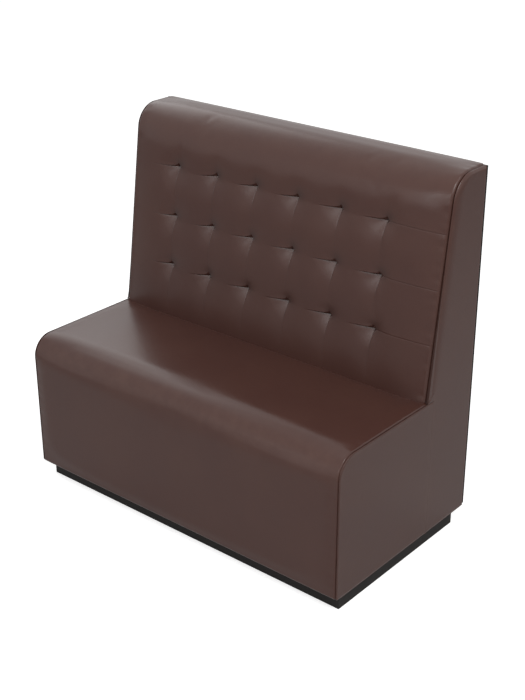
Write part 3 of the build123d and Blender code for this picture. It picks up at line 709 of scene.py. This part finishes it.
def tufted(x, s, swell=0.0):
    """How far the back stands out from the plane of its side seams, at x along the booth and s up
    the slope and over the roll, and how much painted shade darkens the point, from 0 to 1. swell
    is what the cloth simulation adds.

    Each tuft pulls in a dip: its depth falls off with the offsets along and up, each over its own
    reach and raised to a power before they are added. The pleats all face down and to the left, so
    the reach is long to the left and below, where the cover dips gently under its neighbour. To the
    right and above it is short, and shrinks along the fold to the step where that neighbour rolls
    over. A shallow bell-shaped hollow lies round each tuft. Each tile rises a little in the middle,
    by the product of two sines squared. A fine groove and a lip follow each fold, and show only on
    the part of it that the pleat holds tight. Towards the side seams the filling thins out and
    rolls in, with puckers. The painted shade is strongest up and to the right of a tuft, at its
    point, in the grooves, and at the seams.
    """
    x, s = np.meshgrid(x, s, indexing="ij")
    above = np.clip(s - rows[-1], 0, None)
    power = tuft_power + top_row_power * (1 - np.exp(-(above / top_row_fade) ** 2))
    dip = np.zeros(x.shape)
    for column in columns:
        for row in rows:
            dx, ds = x - column, s - row
            held_x, held_s = (np.exp(np.minimum(d, 0) / fold_fade) for d in (dx, ds))
            loose_x, loose_s = (1 - np.exp(-np.maximum(d, 0) / crease_fade) for d in (dx, ds))
            left = np.interp(column, columns, reach_left)
            right = fold_step + (tuft_reach_right - fold_step) * held_s
            upper = fold_step + (tuft_reach_above - fold_step) * held_x
            along = np.sqrt(dx ** 2 + (crease_sharp + crease_soft * loose_s) ** 2)
            along = along / np.where(dx < 0, left, right)
            up = np.sqrt(ds ** 2 + (crease_sharp + crease_soft * loose_x) ** 2)
            up = up / np.where(ds < 0, tuft_reach_below, upper)
            reach = (along ** power + up ** power) ** (1 / power)
            dip += tuft_pull * np.clip(1 - reach, 0, 1) ** tuft_bend
            dip += tuft_hollow * np.exp(-(np.hypot(dx, ds) / tuft_hollow_reach) ** 2)
    near_column = columns[np.argmin(np.abs(x[..., None] - columns), axis=-1)]
    near_row = rows[np.argmin(np.abs(s[..., None] - rows), axis=-1)]
    dx, ds = x - near_column, s - near_row
    past_last = (np.abs(x) - columns[-1]) / (back_end - columns[-1])
    across = np.where(np.abs(x) > columns[-1], past_last, np.abs(dx) / column_pitch)
    up = np.where(s < rows[0], (rows[0] - s) / rows[0], np.abs(ds) / row_pitch)
    pillow = (np.sin(np.pi * np.clip(across, 0, 1)) * np.sin(np.pi * np.clip(up, 0, 1))) ** 2
    pillow *= np.exp(-(above / pillow_fade) ** 2)
    run_out = np.clip((above - run_out_start) / (slope_length + run_out_margin - rows[-1]), 0, 1)
    run_out = run_out ** 2 * (3 - 2 * run_out)
    height = back_fill + (top_fill - back_fill) * run_out + pillow_rise * pillow - dip + swell
    from_seam = back_end - np.abs(x)
    edge_fill = np.minimum(seam_fill + (top_fill - seam_fill) * run_out, height)
    filled = 1 - np.exp(-(from_seam / edge_reach) ** edge_power)
    height = edge_fill + (height - edge_fill) * filled
    ahead = np.interp(x, np.concatenate([[-back_end], columns]), np.arange(len(columns) + 1)) % 1
    below = np.interp(s, np.concatenate([[0], rows]), np.arange(len(rows) + 1)) % 1
    shown_row = np.clip((ahead - row_fold_shows[0]) / row_fold_shows[1], 0, 1)
    past_end = end_fold * np.clip((x - columns[-1]) / end_fold_start, 0, 1)
    shown_row = np.where(x < columns[-1], shown_row, past_end)
    shown_column = (below - column_fold_shows[0]) / column_fold_shows[1]
    shown_column = np.clip(shown_column, column_fold_least, 1)
    fades_up = np.exp(-above / column_groove_fade)
    shown_column = np.where(s < rows[-1], shown_column, fades_up)
    lip = fold_lip * np.sign(ds) * np.exp(-np.abs(ds) / fold_lip_reach) * shown_row
    lip *= np.exp(-(above / fold_lip_fade) ** 2)
    groove = np.exp(-np.abs(dx) / fold_groove_reach) * shown_column
    groove += np.exp(-np.abs(ds) / fold_groove_reach) * shown_row
    roll_in = rolled(from_seam, back_seam_width)
    height = (height + lip - fold_groove * groove) * (1 - roll_in) - back_seam_drop * roll_in
    # Painted shade, not a colour of the cover: darkening up and to the right of each tuft, at its
    # point, in the fold grooves and in the seam rolls.
    from_spot = np.hypot(dx - tuft_shade_place[0], ds - tuft_shade_place[1])
    tuck = tuft_shade * np.exp(-(from_spot / tuft_shade_reach) ** 2) + groove_shade * groove
    tuck += point_shade * np.exp(-np.hypot(dx, ds) / point_shade_reach)
    tuck = np.maximum(np.clip(tuck, 0, 1), seam_shade * roll_in ** 2)
    return height + puckers(s, from_seam, back_pucker), tuck


def back_line(s, height):
    """(y, z) points at distances s up the back and heights above its seam line. Past the slope's
    end s runs round the roll, and then along the flat top."""
    roll_turn = math.pi / 2 - lean
    roll_run = roll_radius * roll_turn
    turn = lean + np.clip(s - slope_length, 0, roll_run) / roll_radius
    on_roll = np.stack([
        roll_centre[0] - (roll_radius + height) * np.cos(turn),
        roll_centre[1] + (roll_radius + height) * np.sin(turn),
    ], axis=-1)
    on_slope = np.stack([
        back_face_y + s * math.sin(lean) - height * math.cos(lean),
        seat_top + s * math.cos(lean) + height * math.sin(lean),
    ], axis=-1)
    flat = np.stack([
        roll_centre[0] + s - slope_length - roll_run,
        roll_centre[1] + roll_radius + height,
    ], axis=-1)
    placed = np.where((s < slope_length)[..., None], on_slope, on_roll)
    return np.where((s > slope_length + roll_run)[..., None], flat, placed)


x_marks = np.concatenate([[-back_end], columns, [back_end]])
back_x = graded(-back_end, back_end, x_marks, fine=0.8, coarse=8.5, reach=42)
top_end = slope_length + roll_radius * (math.pi / 2 - lean) + rear_board_y - roll_centre[0]
s_marks = np.concatenate([[back_start], rows])
slope_s = graded(back_start, slope_length, s_marks, fine=0.8, coarse=8.5, reach=42)
roll_s = np.linspace(slope_length, top_end, 34)[1:]
back_s = np.concatenate([slope_s, roll_s])
coarse_x = np.linspace(-back_end, back_end, 125)
coarse_s = np.linspace(back_start, top_end, 86)
filled = tufted(coarse_x, coarse_s)[0]
sheet = back_line(np.repeat(coarse_s[None], len(coarse_x), axis=0), filled)
sheet = with_x(coarse_x, sheet)
near_x = np.min(np.abs(coarse_x[:, None] - columns), axis=1)[:, None]
near_s = np.min(np.abs(coarse_s[:, None] - rows), axis=1)[None]
on_fold = (near_x < fold_hold_width) | (near_s < fold_hold_width)
held = np.where(on_fold, fold_hold, 0.0) * (coarse_s[None] < rows[-1] + fold_hold_width)
held[np.hypot(near_x, near_s) < tuft_hold_width] = 1
held[[0, -1]] = 1
held[:, [0, -1]] = 1
moved = cloth_filled("back_cloth", sheet, held, back_pressure, back_swell)
turn = lean + np.clip((coarse_s - slope_length) / roll_radius, 0, math.pi / 2 - lean)
swell = moved[..., 2] * np.sin(turn)[None] - moved[..., 1] * np.cos(turn)[None]
swell = spread(swell, coarse_x, coarse_s, back_x, back_s)
height, tuck = tufted(back_x, back_s, swell)
hang = np.clip(back_s / hang_reach, 0, 1)
hang *= np.clip(1 - (back_s - rows[-1]) / hang_reach, 0, 1)
sag_marks = np.concatenate([[-back_end], columns])
sag = np.interp(back_x, columns - column_pitch / 2, fold_sag) * between(back_x, sag_marks)
placed_s = back_s[None] - sag[:, None] * hang[None]
bow = fold_bow * np.clip((back_end - np.abs(back_x)) / bow_reach, 0, 1)
placed_x = back_x[:, None] - bow[:, None] * between(back_s, np.concatenate([[0.0], rows]))[None]
outer = back_line(placed_s, height)
foot = outer[:, :1].copy()
foot_slide = (back_foot - foot[..., 1]) / math.cos(lean)
foot[..., 0] += foot_slide * math.sin(lean)
foot[..., 1] = back_foot
inner_s = np.array([top_end, slope_length + inner_bend, slope_length, 0.0])
inner = back_line(inner_s, np.full(4, -back_depth))
inner[-1] = (inner[-1, 0] + (back_foot - inner[-1, 1]) * math.tan(lean), back_foot)
loop = np.concatenate([foot, outer, np.repeat(inner[None], len(back_x), axis=0)], axis=1)
loop_x = np.concatenate([placed_x[:, :1], placed_x, np.repeat(back_x[:, None], 4, axis=1)], axis=1)
# The painted shade goes onto the back cushion as a point attribute, none on the inner faces.
tuck = np.concatenate([tuck[:, :1], tuck, np.zeros((len(back_x), 4))], axis=1)
from_roll = back_s - slope_length - 0.8 * roll_radius
wear = roll_wear * np.exp(-(from_roll / roll_wear_reach) ** 2)
wear = np.repeat(np.concatenate([[0], wear, np.zeros(4)])[None], len(back_x), axis=0)
back_cushion = new_piece("back_cushion", [with_x(loop_x, loop)], tuck=tuck, wear=wear)
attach(back_cushion, "booth")
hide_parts("back_cover", "back_foam")
back_cushion.data.materials.append(leather)


# Back side panels.
# Leatherette over thin foam on each gable, sewn to the tufted cover up the slope, round the roll
# and along the top. It runs back to the rear board, and is rolled under the bottom edge.
def slope_point(z, height):
    """The (y, z) point at a height z on the line so far out from the back's side seams."""
    s = (z - seat_top - height * math.sin(lean)) / math.cos(lean)
    return back_face_y + s * math.sin(lean) - height * math.cos(lean), z


edge_drop = 1.0
back_top = roll_centre[1] + roll_radius - edge_drop
slope_foot = slope_point(back_foot, -edge_drop)
slope_high = slope_point(back_top, -edge_drop)
back_panel_corners = [
    (seat_rear_y, plinth_top), (rear_board_y, plinth_top), (rear_board_y, back_top), slope_high,
    slope_foot, (seat_rear_y, back_foot),
]
for side_name, side in (("left", -1), ("right", 1)):
    back_panel = side_panel(
        f"back_{side_name}_panel", back_panel_corners,
        radii=[0.5, 14.0, 3.0, roll_radius - edge_drop, 0.5, 0.5],
        drops=[6.5, 3.0, 7.5, 8.0, 0.8, 0.2], widths=[8.0, 7.0, 12.0, 34.0, 4.0, 2.0],
        skin_x=half_length - cover,
        pad=(*pad_x, seat_rear_y + 0.2, rear_board_y, box_low, back_foot),
        hem=(*hem_x, seat_rear_y, rear_board_y - 15, plinth_top, box_low),
        side=side,
    )
    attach(back_panel, "booth")
    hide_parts(f"back_{side_name}_cover", f"back_{side_name}_pad")
    back_panel.data.materials.append(leather)


# Seams.
# The covers' edges are turned in and sewn together at both ends of the booth. A folded strip closes
# the groove between the panel and the cushion, and lock stitches in bonded thread run along it.
stitch_pitch = 4.5
stitch_length = 3.4
stitch_radius = 0.55
strip_thickness = 1.4
seat_seam_depth = 4.0
seat_groove = (593.9, 598.6)
back_seam_depth = 6.0
back_groove = (588.8, 593.0)
twist_mm = 1.2


def seam_pieces(path, x0, x1):
    """A strip from x0 to x1 whose outer face follows a path of (y, z) points, and the stitches
    along its middle, as short six-sided tubes with pinched ends, a pitch apart."""
    out = normals_of(path)
    under = path - out * strip_thickness
    edges = ((x0, path), (x1, path), (x1, under), (x0, under))
    strip = np.stack([np.insert(edge, 0, x, axis=1) for x, edge in edges], axis=1)
    travelled = np.concatenate([[0], np.cumsum(np.linalg.norm(np.diff(path, axis=0), axis=1))])
    stops = np.arange(stitch_pitch / 2, travelled[-1] - stitch_pitch / 2, stitch_pitch)
    centre = np.stack([np.interp(stops, travelled, path[:, k]) for k in (0, 1)], axis=-1)
    up = np.stack([np.interp(stops, travelled, out[:, k]) for k in (0, 1)], axis=-1)
    ahead = np.stack([up[:, 1], -up[:, 0]], axis=-1)
    reach = np.array([-0.5, -0.36, 0.36, 0.5]) * stitch_length
    radius = np.array([0.3, 1.0, 1.0, 0.3]) * stitch_radius
    angle = np.radians(np.arange(0, 360, 60))
    flat = centre[:, None, None] + ahead[:, None, None] * reach[None, :, None, None]
    flat = flat + up[:, None, None] * (radius[:, None] * np.sin(angle)[None] + 0.2)[None, ..., None]
    across = (x0 + x1) / 2 + radius[:, None] * np.cos(angle)[None]
    across = np.broadcast_to(across[None, ..., None], flat.shape[:3] + (1,))
    return strip, np.concatenate([across, flat], axis=-1)


def bonded_thread():
    """Bonded nylon: a dull thread, a little paler than the cover. Its twist is a wave's diagonal
    bands, in colour and relief, drawn as coarse as it needs to show."""
    material = bpy.data.materials.new("bonded_thread")
    tree = new_tree(material)
    place = add_node(tree, "ShaderNodeTexCoord")
    twist = add_node(
        tree, "ShaderNodeTexWave",
        {"Vector": (place, "Object"), "Scale": 1 / (twist_mm * MM), "Distortion": 1.0},
        bands_direction="DIAGONAL",
    )
    colour = add_node(
        tree, "ShaderNodeMix",
        {"Factor": (twist, "Fac"), "A": linear("3a2620"), "B": linear("6b4c41")}, data_type="RGBA",
    )
    relief = add_node(
        tree, "ShaderNodeBump", {"Height": (twist, "Fac"), "Strength": 0.4, "Distance": 0.1 * MM},
    )
    shader = add_node(
        tree, "ShaderNodeBsdfPrincipled",
        {"Base Color": (colour, "Result"), "Roughness": 0.55, "Normal": (relief, "Normal")},
    )
    add_node(tree, "ShaderNodeOutputMaterial", {"Surface": (shader, 0)})
    return material


thread = bonded_thread()
seat_path = line - outward * seat_seam_depth
back_path = back_line(np.linspace(4, top_end - 2, 150), np.full(150, -back_seam_depth))
seams = (("seat", seat_path, seat_groove), ("back", back_path, back_groove))
for place_name, path, (x0, x1) in seams:
    for side_name, side in (("left", -1), ("right", 1)):
        strip, stitches = seam_pieces(path, side * x0, side * x1)
        parts = (("seam", [strip], leather), ("stitches", list(stitches), thread))
        for piece_name, tubes, finish in parts:
            piece = new_piece(f"{place_name}_{side_name}_{piece_name}", tubes)
            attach(piece, "booth")
            piece.data.materials.append(finish)


# Finishes of the carried-over pieces.
# Painted board gives the plinth a flat black, and hardboard the rear a smooth one. Planed wood is
# pale with long streaks, cut foam and felt have no shine, spring steel is dull and dark, and zinc
# plating bright. All but the plinth, the rear and its screws are inside or underneath.
relief_mm = 0.1


def plain_finish(name, colour_a, colour_b, roughness, metallic=0.0, grain_mm=(4.0, 4.0, 4.0)):
    """Noise stretched to the grain's size, which sets the colour between the two given and makes a
    slight relief."""
    material = bpy.data.materials.new(name)
    tree = new_tree(material)
    place = add_node(tree, "ShaderNodeTexCoord")
    stretch = add_node(
        tree, "ShaderNodeMapping",
        {"Vector": (place, "Object"), "Scale": [1 / (g * MM) for g in grain_mm]},
    )
    grain = add_node(
        tree, "ShaderNodeTexNoise", {"Vector": (stretch, 0), "Scale": 1.0, "Detail": 6.0},
    )
    colour = add_node(
        tree, "ShaderNodeMix",
        {"Factor": (grain, "Fac"), "A": linear(colour_a), "B": linear(colour_b)}, data_type="RGBA",
    )
    relief = add_node(
        tree, "ShaderNodeBump",
        {"Height": (grain, "Fac"), "Strength": 0.1, "Distance": relief_mm * MM},
    )
    shader = add_node(
        tree, "ShaderNodeBsdfPrincipled",
        {
            "Base Color": (colour, "Result"), "Roughness": roughness, "Metallic": metallic,
            "Normal": (relief, "Normal"),
        },
    )
    add_node(tree, "ShaderNodeOutputMaterial", {"Surface": (shader, 0)})
    return material


finishes = {
    "plywood": plain_finish("birch_plywood", "b08a5c", "d0ab78", 0.7, grain_mm=(120, 6, 6)),
    "softwood": plain_finish("planed_pine", "c79a62", "ddb880", 0.65, grain_mm=(90, 4, 4)),
    "plinth_black": plain_finish(
        "black_painted_board", "0f0b09", "150f0c", 0.75, grain_mm=(60, 3, 3),
    ),
    "rear_black": plain_finish("black_hardboard", "0c0b0a", "121010", 0.6, grain_mm=(3, 3, 3)),
    "foam": plain_finish("cut_foam", "cfc08f", "e2d6ab", 0.95, grain_mm=(2, 2, 2)),
    "felt": plain_finish("needled_felt", "6f6d69", "8b8882", 0.95, grain_mm=(2, 2, 1)),
    "spring_steel": plain_finish("drawn_spring_steel", "6b6b6c", "8a8a8b", 0.4, 1.0, (2, 20, 2)),
    "zinc_steel": plain_finish("zinc_plated_steel", "a9aaa6", "c4c4bf", 0.32, 1.0, (3, 3, 3)),
    "twine": plain_finish("waxed_twine", "b7a883", "cfc29f", 0.8, grain_mm=(1, 1, 1)),
    "foot_plastic": plain_finish("moulded_nylon", "1a1a1b", "242425", 0.5, grain_mm=(2, 2, 2)),
    "leatherette_brown": leather,
}
for part in frame["record"]["subparts"]:
    node = frame["nodes"][part["node"]]
    node.data.materials.clear()
    node.data.materials.append(finishes[part["material_slot"]])
